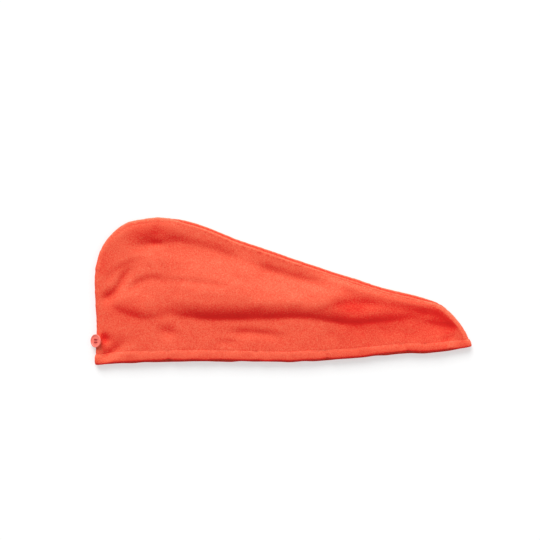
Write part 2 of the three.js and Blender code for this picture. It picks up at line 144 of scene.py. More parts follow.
# A dent's line is its bottom: the face is over it and the cloth comes back up slowly below it.
DENTS = (
    (
        "crown dent",
        (118, 248), (136, 245), (150, 243.7), (162, 243.3), (184, 245),
        5.2, 31, 24, 0.5, 0.4, 3,
    ),
    ("crown pucker", (157, 221), (157, 231), (157.5, 244), 0.9, 6, 7, 0.3, 0.2, 3),
    ("crown knot", (149, 241.5), (157.5, 243.5), (166, 242.5), 2.0, 8, 7, 0.35, 0.35, 3),
    (
        "nape crease",
        (97, 301), (107, 297), (115, 291.5), (120, 284), (124.5, 275), (132, 268.5), (150, 264),
        4.1, 14, 12, 0.2, 0.4, 4,
    ),
    (
        "nape arc",
        (122, 301), (129, 290), (139, 282), (151, 278), (166, 280), (185, 282),
        1.9, 12, 10, 0.3, 0.45, 6,
    ),
    ("nape line", (102, 288), (109, 278), (120, 268), (134, 261), (152, 257), 1.2, 10, 8, 0.3, 0.3, 4),
    ("middle line", (163, 278.5), (190, 281), (216, 284), (230, 288), 1.2, 9, 8, 0.3, 0.3, 6),
    ("slanting line", (154, 248), (160, 262), (169, 274), 0.8, 6, 6, 0.3, 0.3, 6),
    ("middle crease", (226, 270), (240, 277), (252, 284), 1.0, 9, 9, 0.35, 0.35, 6),
    ("button crease", (94, 334), (103, 338), (115, 341), 4.4, 15, 8, 0.15, 0.5, 6),
    ("corner wedge", (98, 358), (108, 354), (118, 347), (130, 337), 3.3, 22, 9, 0.25, 0.4, 8),
    ("small dimple", (154, 327), (168, 331), (184, 333), 2.3, 18, 14, 0.45, 0.45, 6),
    ("bottom valley", (220, 331.5), (245, 332), (265, 333), (296, 336.5), 1.9, 11, 9, 0.35, 0.35, 6),
    ("bottom line", (210, 341), (226, 341.5), (244, 342), 0.9, 8, 7, 0.35, 0.35, 6),
    ("tail tuck", (412, 310), (424, 313), (438, 314.5), (450, 319), 0.4, 12, 9, 0.35, 0.35, 4),
    (
        "tail crease",
        (406, 319), (422, 321.5), (436, 324.5), (448, 326), (461, 325),
        2.1, 11, 13, 0.5, 0.2, 5,
    ),
    ("tail line", (436, 341), (448, 338), (458, 334), 1.4, 8, 7, 0.3, 0.3, 6),
)

# A ridge falls softly on both sides of its line, and a negative one is a soft valley.
RIDGES = (
    (
        "crown seam valley",
        (158, 244.5), (176, 243.5), (198, 247.5), (221, 254.5), (238, 261.5), (252, 267.5),
        -3.7, 11, 34, 0.2, 0.34, 4,
    ),
    (
        "slope seam valley",
        (236, 261), (262, 270), (282, 276.5), (304, 282.5), (322, 287.5), (342, 295),
        -7.4, 12, 38, 0.3, 0.42, 4,
    ),
    (
        "crown rim",
        (104, 252), (116, 238), (132, 229), (155, 226), (178, 227), (200, 234),
        1.2, 9, 16, 0.3, 0.3, 4,
    ),
    (
        "tail hollow",
        (340, 331), (380, 330), (410, 329), (440, 330), (460, 331),
        -2.5, 46, 22, 0.35, 0.22, 12,
    ),
)

# Soft areas where the pile is made deeper red, set to match the photograph. They are partly a change in
# the pile and partly painted shade in its folds and hollows; under the button it is the button's
# painted shadow.
# How much deeper stands in place of the height.
DEEPER_PILE_AND_PAINTED_SHADE_AREAS = (
    ("nape edge", (98, 246), (98, 262), (99, 280), 0.25, 18, 16, 0.3, 0.3, 1),
    ("nape hollow", (98, 306), (125, 309), (150, 312), 0.2, 22, 20, 0.3, 0.3, 1),
    ("corner", (99, 338), (110, 343), (121, 342), 0.2, 18, 16, 0.3, 0.3, 1),
    ("crown", (118, 237), (140, 231), (158, 230), (180, 233), 0.3, 13, 13, 0.35, 0.35, 1),
    ("lens", (325, 307), (345, 308), (375, 311), 0.32, 12, 12, 0.35, 0.35, 1),
    (
        "tail",
        (318, 309), (345, 306), (385, 309), (415, 313), (440, 321), (460, 331),
        0.5, 26, 62, 0.25, 0.08, 2,
    ),
    (
        "tail rim",
        (420, 297), (438, 304), (455, 316), (466, 334), (472, 348),
        0.36, 16, 20, 0.3, 0.1, 0.5,
    ),
    # Painted shadow of the button on the cloth.
    ("under the button", (98, 333), (102.5, 341), (100, 350), 0.5, 7, 7, 0.2, 0.2, 0.5),
    ("bottom", (205, 341), (300, 342), (380, 338), 0.07, 16, 20, 0.3, 0.3, 2),
)

# The photograph's frame: 540 pixels a side, seen from straight above.
PHOTO_SIZE = 540
PHOTO_NAPE_X = 95.5
PHOTO_MOUTH_Y = 365.0
PHOTO_CLOTH_WIDTH = 376.0
CAMERA_LENS = 100
CAMERA_SENSOR = 36

# Fineness of the meshes, in quads.
FRONT_COLUMNS = 560
FRONT_ROWS = 132
FRONT_ROLL_ROWS = 16
BACK_COLUMNS = 480
BACK_ROWS = 60
BACK_ROLL_ROWS = 32
INNER_STEP = 4
HEM_STATIONS = 540
HEM_ROLL_STATIONS = 16
GRID_STEP = 1.0
GRID_MARGIN = 26
SEED = 7

random = np.random.default_rng(SEED)


def smooth(value):
    t = np.clip(value, 0.0, 1.0)
    return t * t * (3 - 2 * t)


def mix(a, b, t):
    return a + (b - a) * t


def unit(vectors):
    return vectors / np.maximum(np.linalg.norm(vectors, axis=-1, keepdims=True), 1e-9)


def spline(points, steps=60):
    """A centripetal Catmull-Rom curve through the points, as a fine polyline."""
    points = np.asarray(points, float)
    padded = np.vstack([2 * points[0] - points[1], points, 2 * points[-1] - points[-2]])
    t = np.linspace(0, 1, steps, endpoint=False)[:, None]
    line = []
    for p0, p1, p2, p3 in zip(padded, padded[1:], padded[2:], padded[3:]):
        d0, d1, d2 = (np.linalg.norm(b - a) ** 0.5 for a, b in ((p0, p1), (p1, p2), (p2, p3)))
        start = ((p1 - p0) / d0 - (p2 - p0) / (d0 + d1) + (p2 - p1) / d1) * d1
        end = ((p2 - p1) / d1 - (p3 - p1) / (d1 + d2) + (p3 - p2) / d2) * d1
        a = 2 * p1 - 2 * p2 + start + end
        b = -3 * p1 + 3 * p2 - 2 * start - end
        line.append(a * t**3 + b * t**2 + start * t + p1)
    return np.vstack([*line, points[-1:]])


class Path:
    """A polyline that is read by the length along it."""

    def __init__(self, line):
        self.line = np.asarray(line, float)
        steps = np.linalg.norm(np.diff(self.line, axis=0), axis=1)
        self.lengths = np.concatenate([[0.0], np.cumsum(steps)])
        self.length = self.lengths[-1]

    def at(self, arc):
        arc = np.clip(arc, 0, self.length)
        axes = range(self.line.shape[1])
        return np.stack([np.interp(arc, self.lengths, self.line[:, k]) for k in axes], axis=-1)

    def direction(self, arc, reach=1.0):
        low, high = np.clip(arc - reach, 0, self.length), np.clip(arc + reach, 0, self.length)
        return unit(self.at(high) - self.at(low))


def distances(places, line):
    """For each place, its distance to the polyline, the side and how far along the nearest is."""
    starts, steps = line[:-1], np.diff(line, axis=0)
    squares = (steps**2).sum(1)
    nearest, side, share = (np.empty(len(places)) for _ in range(3))
    block = 20000
    for first in range(0, len(places), block):
        part = places[first : first + block]
        offset = part[:, None, :] - starts[None]
        t = np.clip((offset * steps).sum(2) / squares, 0, 1)
        gap = offset - t[..., None] * steps
        square = (gap**2).sum(2)
        pick = square.argmin(1)
        rows = np.arange(len(part))
        step, miss = steps[pick], gap[rows, pick]
        nearest[first : first + block] = np.sqrt(square[rows, pick])
        side[first : first + block] = step[:, 0] * miss[:, 1] - step[:, 1] * miss[:, 0]
        share[first : first + block] = (pick + t[rows, pick]) / len(steps)
    return nearest, side, share


# The pattern's place and size come from the frame: the edge strip follows the whole outline.
edge_low, edge_high = (np.array(corner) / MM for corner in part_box("seam_edge"))
unit_outline = spline(OUTLINE)
outline_low, outline_high = unit_outline.min(0), unit_outline.max(0)
SCALE = (edge_high - edge_low)[:2] / (outline_high - outline_low)
ORIGIN = np.array([*(edge_low[:2] - outline_low * SCALE), 0.0])
LENGTH, HEIGHT = SCALE

outline = Path(unit_outline * SCALE)
mouth = Path(spline(MOUTH) * SCALE)


def inward(arc):
    """The unit direction from the outline into the towel. At the two ends it runs along the mouth."""
    tangent = outline.direction(arc)
    normal = np.stack([tangent[..., 1], -tangent[..., 0]], axis=-1)
    nape_end = mouth.direction(np.array(0.0))
    tail_end = -mouth.direction(np.array(mouth.length))
    normal = mix(normal, nape_end, (1 - smooth(arc / END_BLEND))[..., None])
    normal = mix(normal, tail_end, (1 - smooth((outline.length - arc) / END_BLEND))[..., None])
    return unit(normal)


def inner_outline(arc):
    arc = np.asarray(arc, float)
    return outline.at(arc) + inward(arc) * EDGE_ROLL


def edge_places(arc, roll, depth):
    """Places on the rounded edge, roll in radians: 0 at the outline, a quarter turn at the top."""
    arc, roll, depth = np.broadcast_arrays(np.asarray(arc, float), roll, depth)
    half = EDGE_HEIGHT / 2
    inset = EDGE_ROLL - (EDGE_ROLL - depth) * np.cos(roll)
    flat = outline.at(arc) + inward(arc) * inset[..., None]
    z = half + (half - depth) * np.sin(roll)
    return np.concatenate([flat, z[..., None]], axis=-1)


class Field:
    """A value at every place of the pattern, kept on a fine grid."""

    x = np.arange(-GRID_MARGIN, LENGTH + GRID_MARGIN, GRID_STEP)
    y = np.arange(-GRID_MARGIN, HEIGHT + GRID_MARGIN, GRID_STEP)

    def __init__(self, values):
        self.values = values

    def at(self, x, y):
        u = np.clip((x - self.x[0]) / GRID_STEP, 0, len(self.x) - 1.001)
        v = np.clip((y - self.y[0]) / GRID_STEP, 0, len(self.y) - 1.001)
        i, j = u.astype(int), v.astype(int)
        s, t = u - i, v - j
        low = mix(self.values[i, j], self.values[i + 1, j], s)
        high = mix(self.values[i, j + 1], self.values[i + 1, j + 1], s)
        return mix(low, high, t)


grid_x, grid_y = np.meshgrid(Field.x, Field.y, indexing="ij")
grid_places = np.stack([grid_x.ravel(), grid_y.ravel()], axis=1)
frequency_x = np.fft.fftfreq(grid_x.shape[0], GRID_STEP)[:, None]
frequency_y = np.fft.rfftfreq(grid_x.shape[1], GRID_STEP)[None]


def blurred(values, size):
    """The grid's values averaged over about this many millimetres."""
    damping = np.exp(-2 * (math.pi * size) ** 2 * (frequency_x**2 + frequency_y**2))
    return np.fft.irfft2(np.fft.rfft2(values) * damping, values.shape)


def lumps(size, stretch=1.0):
    """A random field of unit spread with lumps of this size across, stretched along x."""
    square = ((frequency_x * stretch) ** 2 + frequency_y**2) * (0.7 * size) ** 2
    spectrum = np.fft.rfft2(random.standard_normal(grid_x.shape)) * square * np.exp(-2 * square)
    values = np.fft.irfft2(spectrum, grid_x.shape)
    return values / values.std()


def fold_sum(rows, profile):
    """The heights of a table's folds. profile gives the share of a fold's height from the distance
    over its line and its two widths."""
    total = np.zeros(len(grid_places))
    for _, *line, height, upper, lower, taper_in, taper_out, edge_fade in rows:
        line = spline([on_pattern(*place) for place in line], steps=6)
        reach = 2.5 * max(upper, lower)
        inside = (grid_places > line.min(0) - reach) & (grid_places < line.max(0) + reach)
        near = np.flatnonzero(inside.all(1))
        nearest, side, share = distances(grid_places[near], line)
        taper = smooth(share / taper_in) * smooth((1 - share) / taper_out)
        taper *= smooth(from_edge.ravel()[near] / edge_fade)
        total[near] += height * taper * profile(np.copysign(nearest, side), upper, lower)
    return total.reshape(grid_x.shape)


def on_pattern(pixel_x, pixel_y):
    """The place on the pattern of a pixel of the photograph."""
    pixel = LENGTH / PHOTO_CLOTH_WIDTH
    return ((pixel_x - PHOTO_NAPE_X) * pixel, (PHOTO_MOUTH_Y - pixel_y) * pixel)


def step_profile(over, face, behind):
    rise = 1 - (1 - np.clip(over / face, 0, 1)) ** 2
    return rise * np.exp(-((np.maximum(over - face, 0) / behind) ** 2))


def dent_profile(over, face, below):
    above = np.clip(1 - over / face, 0, 1) ** 2
    return -np.where(over > 0, above, np.exp(-((over / below) ** 2)))


def ridge_profile(over, upper, lower):
    return np.exp(-((over / np.where(over > 0, upper, lower)) ** 2))


def mouth_height(x):
    return np.interp(x, mouth.line[:, 0], mouth.line[:, 1])


CLOTH_SOFTNESS = 2.8
SWELL = 0.15
SWELL_SIZE = 40
HOLLOW_SIZE = 6
HOLLOW_PAINTED_SHADE_AND_LIGHT = 0.25
BACK_LIFT = 0.9
BACK_LIFT_SIZE = 34
EDGE_CALM = 20
MOUTH_CALM = 30
coarse_outline = outline.at(np.linspace(0, outline.length, 320))
from_edge = distances(grid_places, coarse_outline)[0].reshape(grid_x.shape) - EDGE_ROLL
from_mouth = grid_y - mouth_height(grid_x)
folds = fold_sum(STEPS, step_profile) + fold_sum(DENTS, dent_profile) + fold_sum(RIDGES, ridge_profile)
folds += SWELL * lumps(SWELL_SIZE) * smooth(from_edge / EDGE_CALM)
heights = EDGE_HEIGHT + LOFT_RISE * smooth(from_edge / LOFT_REACH)
heights += folds * smooth(from_mouth / MOUTH_FADE)
heights = blurred(heights, CLOTH_SOFTNESS)
top = Field(heights)
# Painted shade and light: the pile is made deeper red where the cloth lies below its surroundings and
# lighter where it lies above them, and the listed areas add their deeper red.
hollowness = np.clip(blurred(heights, HOLLOW_SIZE) - heights, -1, 1)
deeper_pile_and_painted_shade = Field(HOLLOW_PAINTED_SHADE_AND_LIGHT * hollowness + fold_sum(DEEPER_PILE_AND_PAINTED_SHADE_AREAS, ridge_profile))
pile = Field(0.6 * lumps(3) + 0.3 * lumps(5))
lift = BACK_LIFT * np.clip(lumps(BACK_LIFT_SIZE), 0, 1.6)
back_lift = Field(lift * smooth(from_edge / EDGE_CALM) * smooth(from_mouth / MOUTH_CALM))

# The two lips and the two hem lines, which start and end on the inner outline.
nape_lip_end = inner_outline(0.0)
tail_lip_end = inner_outline(outline.length)
nape_hem_end = inner_outline(HEM_WIDTH_NAPE)
tail_hem_end = inner_outline(outline.length - HEM_WIDTH_TAIL)


def setback(x):
    ends = smooth((x - nape_lip_end[0]) / END_BLEND) * smooth((tail_lip_end[0] - x) / END_BLEND)
    return LIP_SETBACK * ends


def hem_width(x):
    return mix(HEM_WIDTH_NAPE, HEM_WIDTH_TAIL, np.clip(x / LENGTH, 0, 1))


def line_between(start, end, height_at):
    """A height over the mouth, corrected so that it starts and ends at the given places."""
    start_error, end_error = start[1] - height_at(start[0]), end[1] - height_at(end[0])

    def line(x):
        at_start = start_error * (1 - smooth((x - start[0]) / END_BLEND))
        at_end = end_error * (1 - smooth((end[0] - x) / END_BLEND))
        return height_at(x) + at_start + at_end

    return line


lower_lip = line_between(nape_lip_end, tail_lip_end, mouth_height)
upper_lip = line_between(nape_lip_end, tail_lip_end, lambda x: mouth_height(x) + setback(x))
lower_hem_line = line_between(nape_hem_end, tail_hem_end, lambda x: mouth_height(x) + hem_width(x))
upper_hem_line = line_between(
    nape_hem_end, tail_hem_end, lambda x: mouth_height(x) + setback(x) + hem_width(x)
)


def bare_object(name, points, faces):
    """An object from places in millimetres on the pattern, with its faces turned out."""
    mesh = bpy.data.meshes.new(name)
    mesh.from_pydata(((np.asarray(points) + ORIGIN) * MM).tolist(), [], faces)
    shape = bmesh.new()
    shape.from_mesh(mesh)
    bmesh.ops.recalc_face_normals(shape, faces=shape.faces)
    shape.to_mesh(mesh)
    shape.free()
    made = bpy.data.objects.new(name, mesh)
    bpy.context.scene.collection.objects.link(made)
    return made


SHARP_ANGLE = math.radians(60)


def made_piece(name, points, faces, material, replaced=()):
    piece = bare_object(name, points, faces)
    piece.data.polygons.foreach_set("use_smooth", [True] * len(piece.data.polygons))
    piece.data.set_sharp_from_angle(angle=SHARP_ANGLE)
    piece.data.materials.append(material)
    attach(piece, "root")
    for node in replaced:
        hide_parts(node)
    return piece


def add_values(piece, name, values):
    """Values for a piece's first points. The rest, on its inner side, stay at nought."""
    every = np.zeros(len(piece.data.vertices), np.float32)
    every[: len(values)] = values
    attribute = piece.data.attributes.new(name, "FLOAT", "POINT")
    attribute.data.foreach_set("value", every)


def grid_quads(columns, rows, first):
    """Quads over a grid of (columns + 1) x (rows + 1) points that starts at the given index."""
    i, j = np.meshgrid(np.arange(columns), np.arange(rows), indexing="ij")
    a = first + i * (rows + 1) + j
    return np.stack([a, a + rows + 1, a + rows + 2, a + 1], axis=-1).reshape(-1, 4).tolist()


def rim_stretches(columns, rows, step):
    """The indices round a grid's edge, a list for each stretch of step edges."""
    walk = [i * (rows + 1) for i in range(columns)]
    walk += [columns * (rows + 1) + j for j in range(rows)]
    walk += [i * (rows + 1) + rows for i in range(columns, 0, -1)]
    walk += range(rows, 0, -1)
    walk.append(walk[0])
    return [walk[k : k + step + 1] for k in range(0, len(walk) - 1, step)]


def cloth_layer(name, outer, inner, material, replaced):
    """A closed layer of cloth: a fine outer grid, an inner one of every few points, and their rim."""
    columns, rows = outer.shape[0] - 1, outer.shape[1] - 1
    coarse = inner[::INNER_STEP, ::INNER_STEP]
    inner_columns, inner_rows = coarse.shape[0] - 1, coarse.shape[1] - 1
    first = outer.shape[0] * outer.shape[1]
    faces = grid_quads(columns, rows, 0)
    faces += [quad[::-1] for quad in grid_quads(inner_columns, inner_rows, first)]
    fine_rim = rim_stretches(columns, rows, INNER_STEP)
    coarse_rim = rim_stretches(inner_columns, inner_rows, 1)
    for fine, (a, b) in zip(fine_rim, coarse_rim):
        faces.append([*fine[::-1], a + first, b + first])
    points = np.vstack([outer.reshape(-1, 3), coarse.reshape(-1, 3)])
    return made_piece(name, points, faces, material, replaced)


def seam_roll(arc):
    """The seam's place on the rounded edge, in radians."""
    shares, lifts = (np.array(column, float) for column in zip(*SEAM))
    share = arc / outline.length
    index = np.clip(np.searchsorted(shares, share) - 1, 0, len(SEAM) - 2)
    t = (share - shares[index]) / (shares[index + 1] - shares[index])
    return np.radians(mix(lifts[index], lifts[index + 1], smooth(t)))


def wander(length, knot_gap):
    """A smooth random line of about unit spread, read by the length along it."""
    knots = np.arange(-knot_gap, length + 2 * knot_gap, knot_gap)
    values = random.standard_normal(len(knots))
    fine = np.linspace(0, len(knots) - 1, 12 * len(knots))
    low = np.clip(fine.astype(int), 0, len(knots) - 2)
    curve = mix(values[low], values[low + 1], smooth(fine - low))
    return lambda arc: np.interp(arc, knots[0] + fine * knot_gap, curve)


FIRST_COLUMN = 7
COLUMN_CROWDING = 1.3
SEAM_SINK = 1.1
SEAM_SINK_REACH = 2.2
SEAM_PUCKER = 0.3
SEAM_PUCKER_REACH = 7
HEM_SINK = 0.1
HEM_SINK_REACH = 1.8
EDGE_WAVE = 0.3
PILE_RELIEF = 0.08
ROLL_RADIUS = (EDGE_ROLL + EDGE_HEIGHT / 2) / 2
seam_pucker = wander(outline.length, 4.5)
edge_wave = wander(outline.length, 38)


def panel_grids(columns, rows, roll_rows, hem_line, height_at, side):
    """A panel's outer and inner grids of places, its places on the uncurled cloth, and its painted
    shade along the seam's groove."""
    share = np.linspace(0, 1, columns + 1)
    arcs = mix(HEM_WIDTH_NAPE, outline.length - HEM_WIDTH_TAIL, share)
    foot_ends = nape_hem_end[0] + FIRST_COLUMN, tail_hem_end[0] - FIRST_COLUMN
    feet_x = mix(*foot_ends, share**COLUMN_CROWDING)
    feet = np.stack([feet_x, hem_line(feet_x)], axis=-1)
    heads = inner_outline(arcs)
    flat = mix(feet[:, None, :], heads[:, None, :], (np.arange(rows) / rows)[None, :, None])
    x, y = flat[..., 0], flat[..., 1]
    from_hem = np.maximum(y - hem_line(x), 0)
    sink = HEM_SINK * np.exp(-((from_hem / HEM_SINK_REACH) ** 2))
    z = height_at(x, y)
    outer_flat = np.stack([x, y, z - side * sink], axis=-1)
    inner_flat = np.stack([x, y, z - side * CLOTH], axis=-1)
    seam = seam_roll(arcs)[:, None]
    roll = mix(side * math.pi / 2, seam, np.linspace(0, 1, roll_rows + 1)[None])
    from_seam = np.abs(roll - seam) * ROLL_RADIUS
    arc = np.broadcast_to(arcs[:, None], roll.shape)
    from_hem = np.minimum(arc - HEM_WIDTH_NAPE, outline.length - HEM_WIDTH_TAIL - arc)
    sink = HEM_SINK * np.exp(-((from_hem / HEM_SINK_REACH) ** 2))
    sink += SEAM_SINK * np.exp(-((from_seam / SEAM_SINK_REACH) ** 2))
    sink += SEAM_PUCKER * seam_pucker(arc) * np.exp(-from_seam / SEAM_PUCKER_REACH)
    sink += EDGE_WAVE * edge_wave(arc) * np.cos(roll)
    sink = np.minimum(sink, CLOTH - 0.2)
    outer = np.concatenate([outer_flat, edge_places(arc, roll, sink)], axis=1)
    inner = np.concatenate([inner_flat, edge_places(arc, roll, CLOTH)], axis=1)
    curl = np.abs(side * math.pi / 2 - roll) * ROLL_RADIUS
    uncurled = heads[:, None, :] - inward(arcs)[:, None, :] * curl[..., None]
    # Painted shade: the rolled edge is made deeper red along the seam's groove.
    seam_painted_shade = np.zeros(outer.shape[:2])
    reach = SEAM_PAINTED_SHADE_REACH * (1 if side > 0 else 2)
    seam_painted_shade[:, rows:] = SEAM_PAINTED_SHADE * np.exp(-((from_seam / reach) ** 2))
    return outer, inner, np.concatenate([flat, uncurled], axis=1), seam_painted_shade


def outward(grid, side):
    return side * unit(np.cross(np.gradient(grid, axis=0), np.gradient(grid, axis=1)))


def raise_pile(grid, places, side, relief):
    """The grid with the pile's lumps raised along its outward side."""
    height = relief * pile.at(places[..., 0], places[..., 1])
    return grid + outward(grid, side) * height[..., None]


# The pile is taken to lie towards the mouth: it is made deeper red where the cloth falls that way, and
# lighter where the cloth faces the crown. As the light comes from the crown's side, this is partly the
# pile's lie and partly painted shade on slopes turned from the light and painted light on slopes turned
# to it.
# The strengths are fitted to the photograph and stand in for part of its shade.
NAP_AND_PAINTED_SHADE = 2.7
NAP_AND_PAINTED_LIGHT = 1.0
# Painted shade along the seam's groove, and how far it reaches.
SEAM_PAINTED_SHADE = 0.8
SEAM_PAINTED_SHADE_REACH = 1.4


def nap_with_painted_shade_and_light(normals):
    towards_mouth = -normals[..., 1]
    return np.where(towards_mouth > 0, NAP_AND_PAINTED_SHADE, NAP_AND_PAINTED_LIGHT) * towards_mouth


def front_cloth(material):
    outer, inner, places, depth = panel_grids(
        FRONT_COLUMNS, FRONT_ROWS, FRONT_ROLL_ROWS, upper_hem_line, top.at, 1
    )
    # Painted shade and painted light in the depth values: the seam's, the slopes' by their facing with
    # the pile's lie, the hollows' and crests', and the listed areas'.
    depth += nap_with_painted_shade_and_light(outward(outer, 1)) + deeper_pile_and_painted_shade.at(places[..., 0], places[..., 1])
    outer = raise_pile(outer, places, 1, PILE_RELIEF)
    piece = cloth_layer("front_cloth", outer, inner, material, ["front_panel"])
    add_values(piece, "depth", depth.ravel())
    return piece


def back_cloth(material):
    outer, inner, places, depth = panel_grids(
        BACK_COLUMNS, BACK_ROWS, BACK_ROLL_ROWS, lower_hem_line, back_lift.at, -1
    )
    # Painted shade and light on the lower layer: the seam's, and the slopes' by their facing with the
    # pile's lie.
    depth += nap_with_painted_shade_and_light(outward(outer, -1))
    mirrored = places * (-1, 1) + (LENGTH, 0)
    outer = raise_pile(outer, mirrored, -1, PILE_RELIEF)
    outer[..., 2] = np.maximum(outer[..., 2], TABLE)
    piece = cloth_layer("back_cloth", outer, inner, material, ["back_panel", "seam_edge"])
    add_values(piece, "depth", depth.ravel())
    return piece


# The turned hem's section: share of the way from the lip to the stitched edge, and height over the
# cloth's outer side in millimetres. The outer side comes first, then the inner side back to the lip.
HEM_SECTION = (
    (0.0, -1.55),
    (0.007, -1.0),
    (0.026, -0.46),
    (0.065, 0.0),
    (0.13, 0.32),
    (0.22, 0.52),
    (0.34, 0.64),
    (0.46, 0.69),
    (0.58, 0.7),
    (0.68, 0.67),
    (0.76, 0.6),
    (0.83, 0.49),
    (0.88, 0.38),
    (0.905, 0.31),
    (0.93, 0.31),
    (0.965, 0.28),
    (1.0, 0.12),
    (1.004, -0.7),
    (1.0, -2.0),
    (0.97, -2.7),
    (0.75, -2.8),
    (0.5, -2.8),
    (0.25, -2.8),
    (0.08, -2.75),
    (0.025, -2.5),
    (0.006, -2.05),
)
HEM_ACROSS, HEM_HEIGHT = (np.array(column) for column in zip(*HEM_SECTION))
OUTER_LIMIT = -1.2
STITCH_ACROSS = 0.915
HEM_OUT = 0.5
HEM_BULGE = 1.1
HEM_WAVE = 0.22
HEM_SWELL = 0.18
LIP_WAVE = 0.55
LIP_CALM = 1 / 16
# Painted shade at the hem's lips, where the lower layer's lip lies in the upper one's shadow: how deep,
# and how far in from the lip it reaches.
LIP_PAINTED_SHADE = 0.8
LIP_PAINTED_SHADE_REACH = 0.08
lip_wave = wander(2 * LENGTH, 21)
hem_wave = wander(2 * LENGTH, 6.5)
hem_swell = wander(2 * LENGTH, 30)

# Notches where the hem's stitching pulls: share of the length, depth and half width in millimetres.
HEM_NOTCHES = (
    (0.15, 0.4, 20.0),
    (0.195, 0.7, 5.0),
    (0.43, 0.35, 8.0),
    (0.615, 0.8, 5.0),
    (0.78, 0.35, 22.0),
    (0.83, 0.6, 5.0),
)
NOTCH_PULL = 1.9


def notched(x):
    """How deep the notches are along the hem."""
    total = 0
    for place, depth, wide in HEM_NOTCHES:
        total = total + depth * np.exp(-(((x - place * LENGTH) / wide) ** 2))
    return total


def hem_relief(along, across):
    """Extra height of the hem's outer side: puckers that fade from the stitches to the lip."""
    on_layer = np.mod(along, LENGTH)
    ends = smooth((on_layer - EDGE_ROLL) / 18) * smooth((LENGTH - EDGE_ROLL - on_layer) / 18)
    pull = np.exp(-(((across - STITCH_ACROSS) / 0.35) ** 2))
    return (HEM_WAVE * hem_wave(along) * pull + HEM_SWELL * hem_swell(along) - notched(on_layer)) * ends


def hem_lines(lip, line, is_front):
    """The hem's two edge lines at matching stations, and how far along the hem each station is."""
    t = np.linspace(0, 1, HEM_STATIONS + 1)
    lip_x = mix(nape_lip_end[0], tail_lip_end[0], t)
    line_x = mix(nape_hem_end[0], tail_hem_end[0], t)
    along = lip_x + (0 if is_front else LENGTH)
    ends = smooth(t / LIP_CALM) * smooth((1 - t) / LIP_CALM)
    lips = np.stack([lip_x, lip(lip_x) + LIP_WAVE * lip_wave(along) * ends], axis=-1)
    if is_front:
        lips[:, 1] += NOTCH_PULL * notched(lip_x)
    return lips, np.stack([line_x, line(line_x)], axis=-1), along


def flat_hem(lip, line, height_at, is_front):
    lips, edges, along = hem_lines(lip, line, is_front)
    flat = mix(lips[:, None, :], edges[:, None, :], HEM_ACROSS[None, :, None])
    relief = hem_relief(along[:, None], HEM_ACROSS[None]) * (HEM_HEIGHT > OUTER_LIMIT)
    side = 1 if is_front else -1
    z = height_at(flat[..., 0], flat[..., 1]) + side * (HEM_HEIGHT + relief)
    return np.concatenate([flat, z[..., None]], axis=-1)


def rolled_hem(first_arc, last_arc):
    """The hem round one end of the mouth, from the upper layer's side down to the lower one's."""
    roll = np.linspace(math.pi / 2, -math.pi / 2, HEM_ROLL_STATIONS + 1)[1:-1, None]
    arc = mix(first_arc, last_arc, np.clip(HEM_ACROSS, 0, 1))[None]
    settle = HEM_OUT * smooth((1 - np.sin(roll)) / 2)
    bulge = HEM_BULGE * np.cos(roll) * np.sin(math.pi * np.clip(HEM_ACROSS, 0, 1)) ** 0.5
    return edge_places(arc, roll, settle - HEM_HEIGHT - bulge * (HEM_HEIGHT > OUTER_LIMIT))


def table_height(x, y):
    return np.full(np.shape(x), HEM_OUT)


def hem_band(material):
    upper = flat_hem(upper_lip, upper_hem_line, top.at, True)
    lower = flat_hem(lower_lip, lower_hem_line, table_height, False)
    nape = rolled_hem(0, HEM_WIDTH_NAPE)
    tail = rolled_hem(outline.length, outline.length - HEM_WIDTH_TAIL)
    ring = np.concatenate([upper, tail, lower[::-1], nape[::-1]])
    ring[..., 2] = np.maximum(ring[..., 2], TABLE)
    stations, corners = ring.shape[:2]
    faces = []
    for i in range(stations):
        this, following = i * corners, (i + 1) % stations * corners
        for j in range(corners):
            k = (j + 1) % corners
            faces.append((this + j, following + j, following + k, this + k))
    replaced = ["front_hem", "back_hem"]
    piece = made_piece("hem_band", ring.reshape(-1, 3), faces, material, replaced)
    around = unit(np.cross(np.gradient(ring, axis=0), np.gradient(ring, axis=1)))
    # The hem's depth values: the pile's lie with painted shade and light by its facing, painted shade
    # at the lips, and on the upper side the hollows' and listed areas'.
    depth = nap_with_painted_shade_and_light(around) + LIP_PAINTED_SHADE * np.exp(-HEM_ACROSS / LIP_PAINTED_SHADE_REACH)
    depth[: len(upper)] += deeper_pile_and_painted_shade.at(upper[..., 0], upper[..., 1])
    add_values(piece, "depth", depth.ravel())
    return piece


def tubes(paths, radius, sides, relief=None):
    """Points and faces of closed tubes. radius is one value or one for each place on a path, and
    relief gives the radius's factor from the angle round the tube and the place's number."""
    points, faces = [], []
    angles = np.linspace(0, 2 * math.pi, sides, endpoint=False)
    for path in paths:
        path = np.asarray(path, float)
        tangents = unit(np.gradient(path, axis=0))
        normal = np.cross(tangents[0], (0.31, 0.17, 0.94))
        first = len(points)
        radii = np.broadcast_to(radius, len(path))
        for number, (place, tangent, size) in enumerate(zip(path, tangents, radii)):
            normal = unit(normal - tangent * normal.dot(tangent))
            side = np.cross(tangent, normal)
            ring = np.cos(angles)[:, None] * normal + np.sin(angles)[:, None] * side
            if relief:
                ring = ring * relief(angles, number)[:, None]
            points.extend(place + size * ring)
        for k in range(len(path) - 1):
            for j in range(sides):
                a, b = first + k * sides + j, first + k * sides + (j + 1) % sides
                faces.append((a, b, b + sides, a + sides))
        last = first + (len(path) - 1) * sides
        faces.append(tuple(range(first + sides - 1, first - 1, -1)))
        faces.append(tuple(range(last, last + sides)))
    return np.array(points), faces


STITCH_PITCH = 3.6
STITCH_LENGTH = 2.9
STITCH_RADIUS = 0.3
STITCH_DIP = 0.3
STITCH_LEVEL = 0.08


